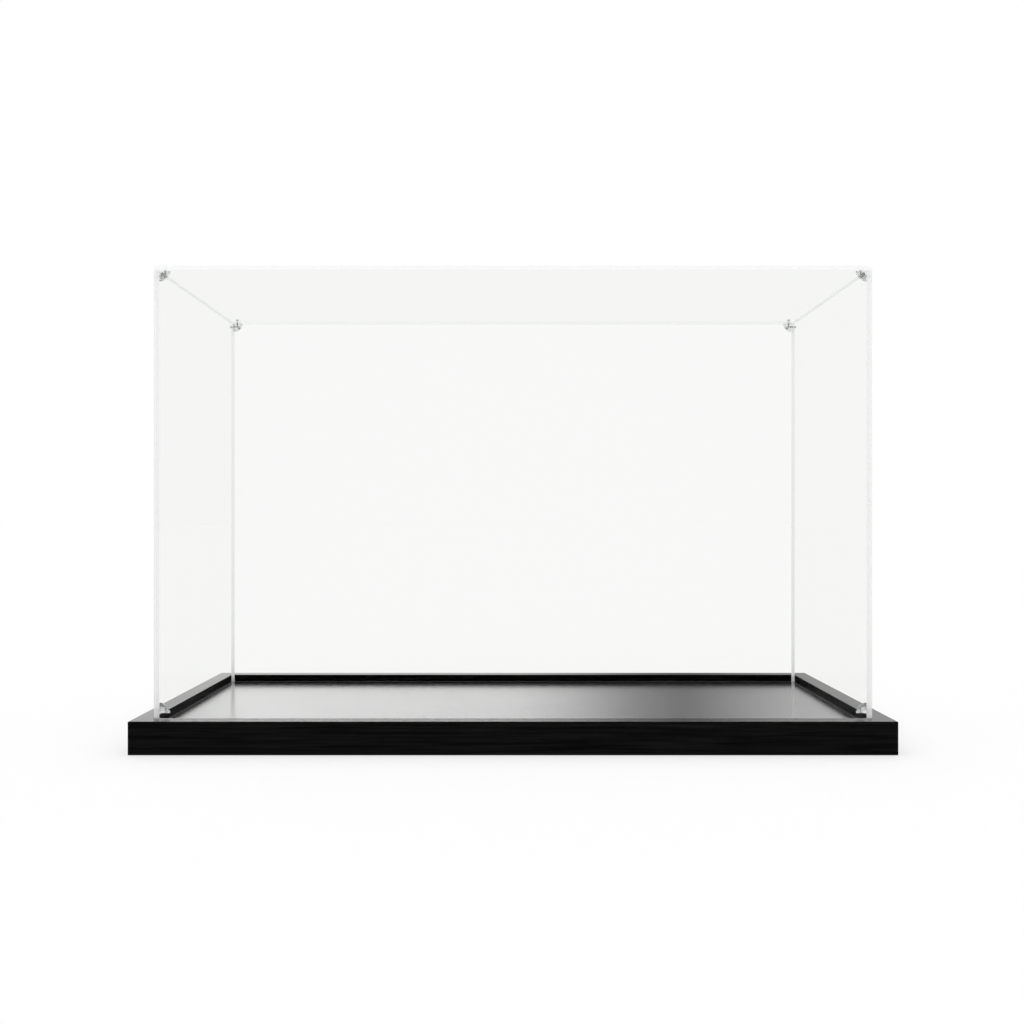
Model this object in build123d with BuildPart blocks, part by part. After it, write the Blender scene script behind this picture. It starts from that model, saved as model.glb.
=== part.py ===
# Figure display case: a wood-grain tray base and a clear five-panel cover that lifts off it.
# Millimetres. The origin is the centre of the underside, +Z is up and the front faces -Y.

import os

from build123d import *

# Base, overall
base_length = 460.0
base_depth = 206.0
base_height = 20.0
rim_width = 11.2
recess_depth = 5.0
rail_edge_radius = 0.5

# Board and glossy sheet inside the rails
board_tongue = 5.0
board_fit = 0.1
floor_sheet = 3.0
floor_fit = 0.25

# Clear cover
cover_wall = 2.5
cover_height = 280.0
cover_fit = 0.5
joint_gap = 0.1

# Moulded three-way corner connectors
flange_radius = 6.2
flange_thickness = 0.8
ball_radius = 5.2
lower_connector_height = 7.6

# Countersunk screws that hold the panels to the connectors
screw_offset = 2.7
screw_grip = 1.8
screw_shank_radius = 0.6
screw_head_radius = 1.25
screw_clearance = 0.1
countersink_angle = 90.0
screw_sides = 12

# The front faces -Y, and only the two front corners have a lower connector
front_side = -1

# Worked out from the sizes above
half_length = base_length / 2
half_depth = base_depth / 2
board_thickness = base_height - recess_depth - floor_sheet
floor_top = base_height - recess_depth
recess_length = base_length - 2 * rim_width
recess_width = base_depth - 2 * rim_width
cover_length = recess_length - 2 * cover_fit
cover_depth = recess_width - 2 * cover_fit
cover_top = floor_top + cover_height
wall_height = cover_height - cover_wall - joint_gap
wall_middle = floor_top + wall_height / 2
inner_half_length = cover_length / 2 - cover_wall
inner_half_depth = cover_depth / 2 - cover_wall
connector_x = inner_half_length - joint_gap
connector_y = inner_half_depth - joint_gap
connector_top_z = cover_top - cover_wall - joint_gap
connector_low_z = floor_top + lower_connector_height
screw_length = cover_wall + joint_gap + screw_grip
screw_cone_height = screw_head_radius - screw_shank_radius
screw_hole_radius = screw_shank_radius + screw_clearance
countersink_radius = screw_head_radius + screw_clearance

os.makedirs("parts", exist_ok=True)


def write(part, name):
    """Names a finished sub-part and writes its file."""
    part.label = name
    export_step(part, f"parts/{name}.step")


def rail(rail_length, half_span):
    """One mitred rail along X whose outer face is at Y = -half_span: a cap over the board's tongue."""
    outer = -half_span
    with BuildPart() as made:
        with BuildSketch(Plane.YZ):
            with BuildLine():
                Polyline(
                    (outer, 0),
                    (outer + rim_width - board_tongue, 0),
                    (outer + rim_width - board_tongue, board_thickness),
                    (outer + rim_width, board_thickness),
                    (outer + rim_width, base_height),
                    (outer, base_height),
                    close=True,
                )
            make_face()
        extrude(amount=rail_length / 2, both=True)
        outer_top_edge = made.edges().filter_by(Axis.X).sort_by(Axis.Y)[:2].sort_by(Axis.Z)[-1]
        fillet(outer_top_edge, radius=rail_edge_radius)
        for side in (-1, 1):
            mitre = Plane(origin=(side * rail_length / 2, outer, 0), z_dir=(side, 1, 0))
            split(bisect_by=mitre, keep=Keep.BOTTOM)
    return made.part


# Four rails, glued at the mitres
long_rail = rail(base_length, half_depth)
short_rail = rail(base_depth, half_length)
rails = {
    "rail_front": (long_rail, 0),
    "rail_back": (long_rail, 180),
    "rail_left": (short_rail, -90),
    "rail_right": (short_rail, 90),
}
for name, (blank, turn) in rails.items():
    with BuildPart() as placed_rail:
        add(blank, rotation=(0, 0, turn))
    write(placed_rail.part, name)

# Board, whose edge goes in under the rails' caps
with BuildPart() as base_board:
    Box(
        recess_length + 2 * board_tongue - 2 * board_fit,
        recess_width + 2 * board_tongue - 2 * board_fit,
        board_thickness,
        align=(Align.CENTER, Align.CENTER, Align.MIN),
    )
write(base_board.part, "base_board")

# Glossy sheet on the board, inside the rails
with BuildPart() as floor_panel:
    with Locations((0, 0, board_thickness)):
        Box(
            recess_length - 2 * floor_fit,
            recess_width - 2 * floor_fit,
            floor_sheet,
            align=(Align.CENTER, Align.CENTER, Align.MIN),
        )
write(floor_panel.part, "floor_panel")


def screw_seats(facing):
    """Outer ends and outward directions of the screws that go in along one axis: X, Y or Z."""
    seats = []
    for side_x in (-1, 1):
        for side_y in (-1, 1):
            x = side_x * (connector_x - screw_offset)
            y = side_y * (connector_y - screw_offset)
            if facing == "Z":
                seats.append(((x, y, cover_top), (0, 0, 1)))
                continue
            levels = [connector_top_z - screw_offset]
            if side_y == front_side:
                levels.append(connector_low_z + screw_offset)
            for z in levels:
                if facing == "X":
                    seats.append(((side_x * cover_length / 2, y, z), (side_x, 0, 0)))
                else:
                    seats.append(((x, side_y * cover_depth / 2, z), (0, side_y, 0)))
    return seats


def panel(size, centre, facing, side):
    """One clear panel with a countersunk hole for each screw on its side of the cover."""
    axis = "XYZ".index(facing)
    with BuildPart() as made:
        with Locations(centre):
            Box(*size)
        for seat, outward in screw_seats(facing):
            if outward[axis] == side:
                with Locations(Plane(origin=seat, z_dir=outward)):
                    CounterSinkHole(
                        radius=screw_hole_radius,
                        counter_sink_radius=countersink_radius,
                        depth=cover_wall,
                        counter_sink_angle=countersink_angle,
                    )
    return made.part


# Five clear panels: the top lies over the walls, and the end walls stand between front and back
long_wall = (cover_length, cover_wall, wall_height)
end_wall = (cover_wall, cover_depth - 2 * cover_wall - 2 * joint_gap, wall_height)
top_sheet = (cover_length, cover_depth, cover_wall)
wall_y = cover_depth / 2 - cover_wall / 2
wall_x = cover_length / 2 - cover_wall / 2
write(panel(long_wall, (0, -wall_y, wall_middle), "Y", -1), "panel_front")
write(panel(long_wall, (0, wall_y, wall_middle), "Y", 1), "panel_back")
write(panel(end_wall, (-wall_x, 0, wall_middle), "X", -1), "panel_left")
write(panel(end_wall, (wall_x, 0, wall_middle), "X", 1), "panel_right")
write(panel(top_sheet, (0, 0, cover_top - cover_wall / 2), "Z", 1), "panel_top")


# The connector as moulded, in the corner below, left and in front of the origin.
# Its screw holes are few-sided, because their threads are left out.
connector_holes = (
    ((0, -screw_offset, -screw_offset), (1, 0, 0)),
    ((-screw_offset, 0, -screw_offset), (0, 1, 0)),
    ((-screw_offset, -screw_offset, 0), (0, 0, 1)),
)
with BuildPart() as connector_blank:
    Sphere(ball_radius)
    for turn in ((0, 0, 0), (90, 0, 0), (0, 90, 0)):
        Cylinder(flange_radius, 2 * flange_thickness, rotation=turn)
    corner_block = (Align.MAX, Align.MAX, Align.MAX)
    Box(flange_radius, flange_radius, flange_radius, align=corner_block, mode=Mode.INTERSECT)
    for mouth, outward in connector_holes:
        with BuildSketch(Plane(origin=mouth, z_dir=outward)):
            RegularPolygon(screw_hole_radius, screw_sides, major_radius=False)
        extrude(amount=-(screw_grip + screw_clearance), mode=Mode.SUBTRACT)


def corner_connector(side_x, side_y, side_z, corner_z):
    """The connector turned into one corner of the cover: a mirror image where a side is negative."""
    turned = connector_blank.part
    for side, about in ((side_x, Plane.YZ), (side_y, Plane.XZ), (side_z, Plane.XY)):
        if side < 0:
            turned = mirror(turned, about=about)
    with BuildPart() as placed:
        with Locations((side_x * connector_x, side_y * connector_y, corner_z)):
            add(turned)
    return placed.part


# Four connectors under the top panel, and two just above the rim at the foot of the front corners
for end, side_x in (("left", -1), ("right", 1)):
    for face, side_y in (("front", front_side), ("back", -front_side)):
        top_connector = corner_connector(side_x, side_y, 1, connector_top_z)
        write(top_connector, f"connector_top_{face}_{end}")
    lower_connector = corner_connector(side_x, front_side, -1, connector_low_z)
    write(lower_connector, f"connector_lower_front_{end}")


# One countersunk screw, head up, with its flat top at the origin
with BuildPart() as screw_blank:
    with BuildSketch():
        RegularPolygon(screw_head_radius, screw_sides)
    with BuildSketch(Plane.XY.offset(-screw_cone_height)):
        RegularPolygon(screw_shank_radius, screw_sides)
    loft()
    with BuildSketch(Plane.XY.offset(-screw_cone_height)):
        RegularPolygon(screw_shank_radius, screw_sides)
    extrude(amount=-(screw_length - screw_cone_height))


def screws(seats):
    """A set of countersunk screws, each flush with the panel that it goes through."""
    with BuildPart() as made:
        for seat, outward in seats:
            with Locations(Plane(origin=seat, z_dir=outward)):
                add(screw_blank.part)
    return made.part


# The screws of the top connectors and those of the lower ones, whose third hole stays empty
all_seats = [seat for facing in "XYZ" for seat in screw_seats(facing)]
middle_height = (connector_low_z + connector_top_z) / 2
write(screws([seat for seat in all_seats if seat[0][2] > middle_height]), "top_screws")
write(screws([seat for seat in all_seats if seat[0][2] < middle_height]), "lower_screws")
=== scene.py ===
"""Looks of the figure display case: black wood-grain tray, glossy floor sheet and clear cover."""

import math

import bpy
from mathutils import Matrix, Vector


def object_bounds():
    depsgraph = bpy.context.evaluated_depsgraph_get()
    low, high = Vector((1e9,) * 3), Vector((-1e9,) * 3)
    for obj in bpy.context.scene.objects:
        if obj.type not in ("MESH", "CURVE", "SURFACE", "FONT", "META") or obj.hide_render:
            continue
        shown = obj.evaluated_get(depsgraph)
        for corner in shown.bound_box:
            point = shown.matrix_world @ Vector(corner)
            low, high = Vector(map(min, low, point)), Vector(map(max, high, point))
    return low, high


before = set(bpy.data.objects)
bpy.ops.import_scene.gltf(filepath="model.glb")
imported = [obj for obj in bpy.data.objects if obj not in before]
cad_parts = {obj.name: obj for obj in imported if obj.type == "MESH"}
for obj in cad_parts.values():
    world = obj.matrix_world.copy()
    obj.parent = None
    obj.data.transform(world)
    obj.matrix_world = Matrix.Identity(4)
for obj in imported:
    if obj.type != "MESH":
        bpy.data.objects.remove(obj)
cad_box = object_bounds()

# Camera, in metres and photo pixels
PICTURE = 1024
SENSOR = 0.036
BASE_PIXELS = 770.6
HORIZON_ROW = 520.0
BASE_BOTTOM_ROW = 755.2
BASE_CENTRE_COLUMN = 513.0
CAMERA_DISTANCE = 0.642
NEAREST_SEEN = 0.01

# Lamps and world
WORLD_LIGHT = 0.88
KEY_PLACE = (-0.9, -1.2, 1.5)
KEY_LIGHT = 0.34
FILL_PLACE = (1.2, -0.8, 1.0)
FILL_LIGHT = 0.12
LAMP_SPREAD = math.radians(60)

# Floor: its real colour lights the case, and to the eye it is part colour and part glow
FLOOR_COLOUR = 0.8
FLOOR_SEEN_COLOUR = 0.45
FLOOR_GLOW = 0.56
FLOOR_SIDE = 60.0
FLOOR_DROP = 0.0004

# Brightness of the backdrop as gloss shows it, from left to right: (sideways slope, brightness)
BACKDROP = (
    (-0.5, 0.72),
    (-0.3, 0.9),
    (-0.25, 1.0),
    (0.0, 0.86),
    (0.06, 0.6),
    (0.11, 0.33),
    (0.16, 0.2),
    (0.21, 0.37),
    (0.28, 0.6),
    (0.5, 0.7),
)
BACKDROP_STRENGTH = 1.27
ROOM_BEHIND_CAMERA = 0.22
# Forward direction over which the room behind the camera fades into the backdrop
ROOM_FADE = (-0.15, 0.05)
LEAST_FORWARD = 0.05

# Ranges of values
FULL_RANGE = (0.0, 1.0)
REVERSED_RANGE = (1.0, 0.0)
NOISE_RANGE = (0.3, 0.7)
NOISE_ROUGHNESS = 0.6

# Black wood: noise scales along and across the grain, and gloss on upright faces and on top
BLACK_WOOD = (0.0008, 0.0008, 0.0008, 1.0)
BLACK_WOOD_STREAK = (0.0085, 0.0082, 0.008, 1.0)
STREAK_RANGE = (0.4, 0.68)
GRAIN_ALONG = 4.0
GRAIN_ACROSS = 160.0
PORE_FINENESS = 2.2
UPRIGHT_TO_TOP = (0.3, 0.9)
WOOD_GLOSS_LEVELS = (0.22, 0.6)
WOOD_FACE_ON_GLOSS = (0.25, 0.25, 0.25, 1.0)
RUBBED_ROUGHNESS = (0.12, 0.22)
DULL_ROUGHNESS = (0.78, 0.9)

# Glossy floor sheet
GLOSS_BLACK = (0.012, 0.012, 0.0125, 1.0)
GLOSS_BLACK_DEEP = (0.009, 0.009, 0.0095, 1.0)
GLOSS_SHEET_ROUGHNESS = (0.2, 0.24)
GLOSS_SHEET_IOR = 1.6

# Clear sheets. Their gloss is held back face on and at the most grazing angles, as the photo shows it
WHITE = (1.0, 1.0, 1.0, 1.0)
CLEAR_IOR = 1.49
CLEAR = (0.984, 0.986, 0.983, 1.0)
CLEAR_GRAZING = (0.962, 0.965, 0.961, 1.0)
CLEAR_ROUGHNESS = (0.01, 0.04)
FACE_ON_GLOSS = 0.06
MOST_GLOSS = 0.015

# Cut edges of the clear sheets
EDGE_WHITE = (0.965, 0.97, 0.968, 1.0)
EDGE_SHADE = (0.93, 0.935, 0.932, 1.0)
EDGE_TRANSLUCENT_SHARE = 0.3
EDGE_CLEAR_SHARE = 0.06
# Painted glow on the cut edges, standing for light piped through the sheet
EDGE_PAINTED_GLOW = 0.1
# A face belongs to the cut edge when less than this much of its direction is across the sheet
EDGE_MOST_ACROSS = 0.85
POINTS_DOWN = -0.5

# Moulded connectors
MOULDING_FACE = (0.97, 0.975, 0.975, 1.0)
MOULDING_RIM = (0.62, 0.64, 0.64, 1.0)
MOULDING_HAZE = (0.9, 0.91, 0.91, 1.0)
MOULDING_HAZE_SHARE = (0.1, 0.2)
MOULDING_ROUGHNESS = (0.05, 0.12)

# Screws and board
SCREW_PALE = (0.78, 0.79, 0.8, 1.0)
SCREW_GREY = (0.6, 0.61, 0.62, 1.0)
SCREW_ROUGHNESS = (0.22, 0.38)
BOARD_BROWN = (0.30, 0.21, 0.13, 1.0)
BOARD_DARK_BROWN = (0.22, 0.15, 0.09, 1.0)
BOARD_ROUGHNESS = (0.75, 0.95)


def grey(level):
    """A grey colour of one level."""
    return (level, level, level, 1.0)


def empty_material(name):
    """A node material with nothing but its output: the material, its tree and the output."""
    material = bpy.data.materials.new(name)
    material.use_nodes = True
    tree = material.node_tree
    tree.nodes.clear()
    output = tree.nodes.new("ShaderNodeOutputMaterial")
    return material, tree, output


def principled_material(name):
    """A node material with a Principled shader: the material, its tree and the shader."""
    material, tree, output = empty_material(name)
    shader = tree.nodes.new("ShaderNodeBsdfPrincipled")
    tree.links.new(shader.outputs["BSDF"], output.inputs["Surface"])
    return material, tree, shader


def noise(tree, scale, stretch=(1.0, 1.0, 1.0), detail=6.0):
    """Noise on object coordinates, stretched by a scale along each axis."""
    place = tree.nodes.new("ShaderNodeTexCoord")
    mapping = tree.nodes.new("ShaderNodeMapping")
    mapping.inputs["Scale"].default_value = stretch
    texture = tree.nodes.new("ShaderNodeTexNoise")
    texture.inputs["Scale"].default_value = scale
    texture.inputs["Detail"].default_value = detail
    texture.inputs["Roughness"].default_value = NOISE_ROUGHNESS
    tree.links.new(place.outputs["Object"], mapping.inputs["Vector"])
    tree.links.new(mapping.outputs["Vector"], texture.inputs["Vector"])
    return texture.outputs["Fac"]


def axes(tree, coordinates):
    """X, Y and Z of one kind of texture coordinates."""
    place = tree.nodes.new("ShaderNodeTexCoord")
    split = tree.nodes.new("ShaderNodeSeparateXYZ")
    tree.links.new(place.outputs[coordinates], split.inputs["Vector"])
    return split.outputs


def ramp(tree, source, stops):
    """A colour ramp on a value: stops are (place, colour)."""
    node = tree.nodes.new("ShaderNodeValToRGB")
    elements = node.color_ramp.elements
    elements[0].position, elements[0].color = stops[0]
    elements[1].position, elements[1].color = stops[-1]
    for position, colour in stops[1:-1]:
        elements.new(position).color = colour
    tree.links.new(source, node.inputs["Fac"])
    return node.outputs["Color"]


def two_tone(tree, source, low_colour, high_colour, source_range=NOISE_RANGE):
    """A colour that goes from one to the other over a value's range."""
    return ramp(tree, source, list(zip(source_range, (low_colour, high_colour))))


def ranged(tree, source, target_range, source_range=NOISE_RANGE):
    """A value brought from its own range to another, and held there."""
    node = tree.nodes.new("ShaderNodeMapRange")
    node.inputs["From Min"].default_value, node.inputs["From Max"].default_value = source_range
    node.inputs["To Min"].default_value, node.inputs["To Max"].default_value = target_range
    tree.links.new(source, node.inputs["Value"])
    return node.outputs["Result"]


def calculated(tree, operation, first, second=None):
    """One math node on a value and a value or number."""
    node = tree.nodes.new("ShaderNodeMath")
    node.operation = operation
    tree.links.new(first, node.inputs[0])
    if isinstance(second, float):
        node.inputs[1].default_value = second
    elif second is not None:
        tree.links.new(second, node.inputs[1])
    return node.outputs["Value"]


def mixed(tree, amount, first, second):
    """Mix of two shaders: all of the second where the amount is 1."""
    node = tree.nodes.new("ShaderNodeMixShader")
    if isinstance(amount, float):
        node.inputs["Fac"].default_value = amount
    else:
        tree.links.new(amount, node.inputs["Fac"])
    tree.links.new(first, node.inputs[1])
    tree.links.new(second, node.inputs[2])
    return node.outputs["Shader"]


def added(tree, first, second):
    """Sum of two shaders."""
    node = tree.nodes.new("ShaderNodeAddShader")
    tree.links.new(first, node.inputs[0])
    tree.links.new(second, node.inputs[1])
    return node.outputs["Shader"]


def glow(tree, strength):
    """White light given off by a surface."""
    node = tree.nodes.new("ShaderNodeEmission")
    node.inputs["Strength"].default_value = strength
    return node.outputs["Emission"]


def plain_diffuse(tree, colour):
    """Diffuse shader of one fixed colour."""
    node = tree.nodes.new("ShaderNodeBsdfDiffuse")
    node.inputs["Color"].default_value = colour
    return node.outputs["BSDF"]


def bumped(tree, shader, height, strength, distance):
    """Bump from a height value."""
    bump = tree.nodes.new("ShaderNodeBump")
    bump.inputs["Strength"].default_value = strength
    bump.inputs["Distance"].default_value = distance
    tree.links.new(height, bump.inputs["Height"])
    tree.links.new(bump.outputs["Normal"], shader.inputs["Normal"])


def black_wood(name, along):
    """Black stained wood grain that runs along X or Y: rubbed smooth on top and dull on its upright faces."""
    material, tree, shader = principled_material(name)
    if along == "X":
        stretch = (GRAIN_ALONG, GRAIN_ACROSS, GRAIN_ACROSS)
    else:
        stretch = (GRAIN_ACROSS, GRAIN_ALONG, GRAIN_ACROSS)
    streaks = noise(tree, scale=4.0, stretch=stretch)
    pores = noise(tree, scale=7.0, stretch=[value * PORE_FINENESS for value in stretch], detail=3.0)
    colour = two_tone(tree, streaks, BLACK_WOOD, BLACK_WOOD_STREAK, STREAK_RANGE)
    tree.links.new(colour, shader.inputs["Base Color"])
    upward = axes(tree, "Normal")["Z"]
    spread = tree.nodes.new("ShaderNodeMix")
    tree.links.new(ranged(tree, upward, FULL_RANGE, UPRIGHT_TO_TOP), spread.inputs["Factor"])
    tree.links.new(ranged(tree, streaks, DULL_ROUGHNESS), spread.inputs["A"])
    tree.links.new(ranged(tree, streaks, RUBBED_ROUGHNESS), spread.inputs["B"])
    tree.links.new(spread.outputs["Result"], shader.inputs["Roughness"])
    gloss_level = ranged(tree, upward, WOOD_GLOSS_LEVELS, UPRIGHT_TO_TOP)
    tree.links.new(gloss_level, shader.inputs["Specular IOR Level"])
    shader.inputs["Specular Tint"].default_value = WOOD_FACE_ON_GLOSS
    bumped(tree, shader, pores, strength=0.2, distance=0.0001)
    return material


def gloss_sheet():
    """Glossy black sheet with faint polishing haze."""
    material, tree, shader = principled_material("gloss_sheet_black")
    haze = noise(tree, scale=3.0, stretch=(6.0, 6.0, 6.0))
    tree.links.new(two_tone(tree, haze, GLOSS_BLACK, GLOSS_BLACK_DEEP), shader.inputs["Base Color"])
    tree.links.new(ranged(tree, haze, GLOSS_SHEET_ROUGHNESS), shader.inputs["Roughness"])
    shader.inputs["IOR"].default_value = GLOSS_SHEET_IOR
    shader.inputs["Specular IOR Level"].default_value = 0.9
    shader.inputs["Coat Weight"].default_value = 1.0
    shader.inputs["Coat Roughness"].default_value = 0.18
    shader.inputs["Coat IOR"].default_value = GLOSS_SHEET_IOR
    return material


def fresnel(tree):
    """Share of light that clear plastic reflects, by angle."""
    node = tree.nodes.new("ShaderNodeFresnel")
    node.inputs["IOR"].default_value = CLEAR_IOR
    return node.outputs["Fac"]


def see_through(tree, blend, stops):
    """Clear plastic whose tint goes with the angle: stops are (place, colour), from face on to grazing."""
    weight = tree.nodes.new("ShaderNodeLayerWeight")
    weight.inputs["Blend"].default_value = blend
    through = tree.nodes.new("ShaderNodeBsdfTransparent")
    tree.links.new(ramp(tree, weight.outputs["Facing"], stops), through.inputs["Color"])
    return through.outputs["BSDF"]


def clear_gloss(tree, texture, roughness_range, strength, distance):
    """White gloss whose roughness and bump follow one texture."""
    gloss = tree.nodes.new("ShaderNodeBsdfGlossy")
    gloss.inputs["Color"].default_value = WHITE
    tree.links.new(ranged(tree, texture, roughness_range), gloss.inputs["Roughness"])
    bumped(tree, gloss, texture, strength, distance)
    return gloss.outputs["BSDF"]


def sheet_face(tree, through):
    """Polished face of a clear sheet. Only its outer side has a gloss."""
    wave = noise(tree, scale=9.0, detail=2.0)
    gloss = clear_gloss(tree, wave, CLEAR_ROUGHNESS, strength=0.02, distance=0.0002)
    above_face_on = calculated(tree, "SUBTRACT", fresnel(tree), FACE_ON_GLOSS)
    held = calculated(tree, "MINIMUM", calculated(tree, "MAXIMUM", above_face_on, 0.0), MOST_GLOSS)
    geometry = tree.nodes.new("ShaderNodeNewGeometry")
    outside = ranged(tree, geometry.outputs["Backfacing"], REVERSED_RANGE, FULL_RANGE)
    return mixed(tree, calculated(tree, "MULTIPLY", held, outside), through, gloss)


def cut_edge(tree, through):
    """Pale cut edge of a clear sheet, with a painted glow that stands for the light the sheet pipes to it."""
    saw_marks = noise(tree, scale=600.0, detail=2.0)
    colour = two_tone(tree, saw_marks, EDGE_SHADE, EDGE_WHITE)
    cut = tree.nodes.new("ShaderNodeBsdfDiffuse")
    tree.links.new(colour, cut.inputs["Color"])
    piped = tree.nodes.new("ShaderNodeBsdfTranslucent")
    tree.links.new(colour, piped.inputs["Color"])
    scattered = mixed(tree, EDGE_TRANSLUCENT_SHARE, cut.outputs["BSDF"], piped.outputs["BSDF"])
    # The edge gets a painted glow added to its scattered light
    with_glow = added(tree, scattered, glow(tree, EDGE_PAINTED_GLOW))
    return mixed(tree, EDGE_CLEAR_SHARE, with_glow, through)


def clear_sheet(name, thin_axis):
    """Clear acrylic sheet: polished faces across its thin axis, and cut edges on all but its underside."""
    material, tree, output = empty_material(name)
    through = see_through(tree, blend=0.35, stops=[(0.0, CLEAR), (1.0, CLEAR_GRAZING)])
    direction = axes(tree, "Normal")
    across = calculated(tree, "ABSOLUTE", direction[thin_axis])
    cut_side = calculated(tree, "LESS_THAN", across, EDGE_MOST_ACROSS)
    not_under = calculated(tree, "GREATER_THAN", direction["Z"], POINTS_DOWN)
    on_edge = calculated(tree, "MULTIPLY", cut_side, not_under)
    surface = mixed(tree, on_edge, sheet_face(tree, through), cut_edge(tree, through))
    tree.links.new(surface, output.inputs["Surface"])
    return material


def clear_moulding():
    """Clear moulded plastic, hazier than the sheet, with darker rims where it curves away."""
    material, tree, output = empty_material("clear_moulding")
    flow = noise(tree, scale=420.0, stretch=(1.0, 1.0, 3.0), detail=2.0)
    through = see_through(tree, blend=0.5, stops=[(0.25, MOULDING_FACE), (0.95, MOULDING_RIM)])
    haze = plain_diffuse(tree, MOULDING_HAZE)
    milky = mixed(tree, ranged(tree, flow, MOULDING_HAZE_SHARE), through, haze)
    gloss = clear_gloss(tree, flow, MOULDING_ROUGHNESS, strength=0.15, distance=0.0001)
    tree.links.new(mixed(tree, fresnel(tree), milky, gloss), output.inputs["Surface"])
    return material


def screw_steel():
    """Zinc plated steel, lightly turned."""
    material, tree, shader = principled_material("screw_steel")
    marks = noise(tree, scale=1800.0, detail=3.0)
    tree.links.new(two_tone(tree, marks, SCREW_GREY, SCREW_PALE), shader.inputs["Base Color"])
    shader.inputs["Metallic"].default_value = 1.0
    tree.links.new(ranged(tree, marks, SCREW_ROUGHNESS), shader.inputs["Roughness"])
    bumped(tree, shader, marks, strength=0.2, distance=0.00005)
    return material


def fibreboard():
    """Raw brown fibreboard, seen from below only."""
    material, tree, shader = principled_material("fibreboard")
    fibres = noise(tree, scale=260.0, detail=8.0)
    tree.links.new(two_tone(tree, fibres, BOARD_DARK_BROWN, BOARD_BROWN), shader.inputs["Base Color"])
    tree.links.new(ranged(tree, fibres, BOARD_ROUGHNESS), shader.inputs["Roughness"])
    bumped(tree, shader, fibres, strength=0.4, distance=0.0003)
    return material


def give(node_names, material):
    """Puts one material in every slot of the named CAD nodes."""
    for name in node_names:
        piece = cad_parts[name]
        for material_slot in piece.material_slots:
            material_slot.material = material


def seen_by_eye(tree):
    """1 on camera, glossy and transmission rays, and 0 on the others."""
    path = tree.nodes.new("ShaderNodeLightPath")
    eye_or_gloss = calculated(tree, "MAXIMUM", path.outputs["Is Camera Ray"], path.outputs["Is Glossy Ray"])
    return calculated(tree, "MAXIMUM", eye_or_gloss, path.outputs["Is Transmission Ray"])


def stage_floor():
    """A plain pale floor, white to the camera where no shadow falls on it."""
    mesh = bpy.data.meshes.new("floor")
    half = FLOOR_SIDE / 2
    corners = [(x, y, -FLOOR_DROP) for x, y in ((-half, -half), (half, -half), (half, half), (-half, half))]
    mesh.from_pydata(corners, [], [(0, 1, 2, 3)])
    floor = bpy.data.objects.new("floor", mesh)
    bpy.context.scene.collection.objects.link(floor)
    material, tree, output = empty_material("floor_white")
    plain = plain_diffuse(tree, grey(FLOOR_COLOUR))
    with_glow = added(tree, plain_diffuse(tree, grey(FLOOR_SEEN_COLOUR)), glow(tree, FLOOR_GLOW))
    tree.links.new(mixed(tree, seen_by_eye(tree), plain, with_glow), output.inputs["Surface"])
    mesh.materials.append(material)


def background(tree, strength):
    """White world light of one strength."""
    node = tree.nodes.new("ShaderNodeBackground")
    node.inputs["Color"].default_value = WHITE
    node.inputs["Strength"].default_value = strength
    return node


def backdrop_colour(tree):
    """The surroundings that gloss shows: a graded backdrop, and a darker room behind the camera."""
    direction = axes(tree, "Generated")
    away = calculated(tree, "MAXIMUM", direction["Y"], LEAST_FORWARD)
    slope = calculated(tree, "DIVIDE", direction["X"], away)
    first = BACKDROP[0][0]
    last = BACKDROP[-1][0]
    stops = [((place - first) / (last - first), grey(level)) for place, level in BACKDROP]
    graded = ramp(tree, ranged(tree, slope, FULL_RANGE, (first, last)), stops)
    blend = tree.nodes.new("ShaderNodeMix")
    blend.data_type = "RGBA"
    blend.inputs["A"].default_value = grey(ROOM_BEHIND_CAMERA)
    tree.links.new(ranged(tree, direction["Y"], FULL_RANGE, ROOM_FADE), blend.inputs["Factor"])
    tree.links.new(graded, blend.inputs["B"])
    return blend.outputs["Result"]


def white_surroundings():
    """Plain world light that is pure white where it is looked at and the backdrop where gloss shows it."""
    world = bpy.data.worlds.new("studio")
    bpy.context.scene.world = world
    world.use_nodes = True
    tree = world.node_tree
    tree.nodes.clear()
    output = tree.nodes.new("ShaderNodeOutputWorld")
    path = tree.nodes.new("ShaderNodeLightPath")
    light = background(tree, WORLD_LIGHT)
    white = background(tree, 1.0)
    backdrop = background(tree, BACKDROP_STRENGTH)
    tree.links.new(backdrop_colour(tree), backdrop.inputs["Color"])
    looked_at = mixed(tree, seen_by_eye(tree), light.outputs["Background"], white.outputs["Background"])
    shown = mixed(tree, path.outputs["Is Glossy Ray"], looked_at, backdrop.outputs["Background"])
    tree.links.new(shown, output.inputs["Surface"])


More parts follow.
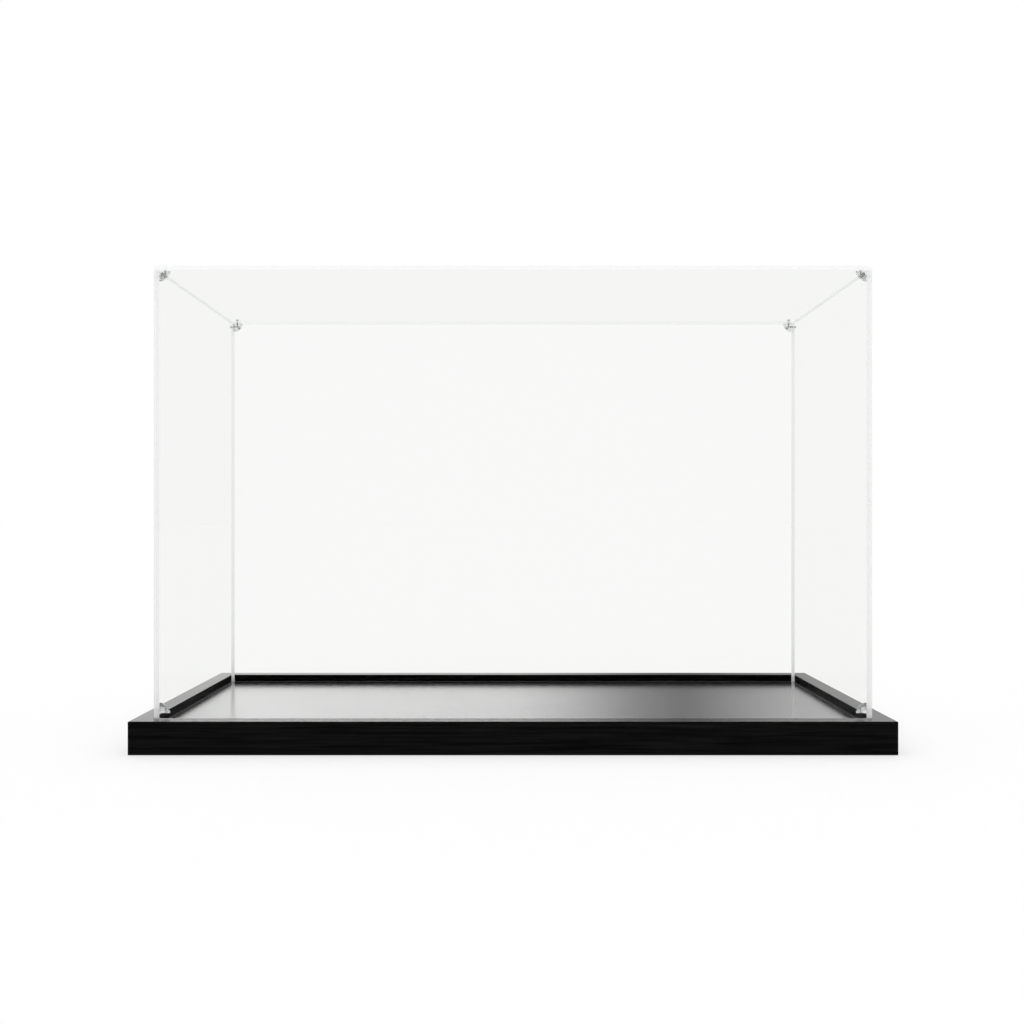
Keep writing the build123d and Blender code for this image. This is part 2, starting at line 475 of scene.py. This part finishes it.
def soft_lamp(name, place, energy):
    """A far, wide and soft lamp that lights the whole floor evenly from one side."""
    lamp = bpy.data.lights.new(name, "SUN")
    lamp.angle = LAMP_SPREAD
    lamp.energy = energy
    holder = bpy.data.objects.new(name, lamp)
    holder.location = place
    holder.rotation_euler = (-Vector(place)).to_track_quat("-Z", "Y").to_euler()
    bpy.context.scene.collection.objects.link(holder)


def camera():
    """Level camera that puts the base's front face at its place in the photo."""
    low, high = cad_box
    pixels_per_metre = BASE_PIXELS / (high[0] - low[0])
    focal_pixels = pixels_per_metre * CAMERA_DISTANCE
    height = (BASE_BOTTOM_ROW - HORIZON_ROW) / pixels_per_metre
    lens = bpy.data.cameras.new("camera")
    lens.sensor_width = SENSOR * 1000
    lens.lens = SENSOR * 1000 * focal_pixels / PICTURE
    lens.shift_y = (HORIZON_ROW - PICTURE / 2) / PICTURE
    lens.shift_x = (PICTURE / 2 - BASE_CENTRE_COLUMN) / PICTURE
    lens.clip_start = NEAREST_SEEN
    eye = bpy.data.objects.new("camera", lens)
    eye.location = (0, low[1] - CAMERA_DISTANCE, height)
    eye.rotation_euler = (math.radians(90), 0, 0)
    bpy.context.scene.collection.objects.link(eye)
    bpy.context.scene.camera = eye


def main():
    """Dresses the case's own pieces, and sets up the camera, the floor and the light."""
    scene = bpy.context.scene
    scene.view_settings.view_transform = "Standard"
    connectors = [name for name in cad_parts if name.startswith("connector_")]
    give(["rail_front", "rail_back"], black_wood("black_wood_long", "X"))
    give(["rail_left", "rail_right"], black_wood("black_wood_end", "Y"))
    give(["base_board"], fibreboard())
    give(["floor_panel"], gloss_sheet())
    give(["panel_front", "panel_back"], clear_sheet("clear_acrylic_long", "Y"))
    give(["panel_left", "panel_right"], clear_sheet("clear_acrylic_end", "X"))
    give(["panel_top"], clear_sheet("clear_acrylic_top", "Z"))
    give(connectors, clear_moulding())
    give(["top_screws", "lower_screws"], screw_steel())
    camera()
    stage_floor()
    white_surroundings()
    soft_lamp("key_lamp", KEY_PLACE, KEY_LIGHT)
    soft_lamp("fill_lamp", FILL_PLACE, FILL_LIGHT)


main()
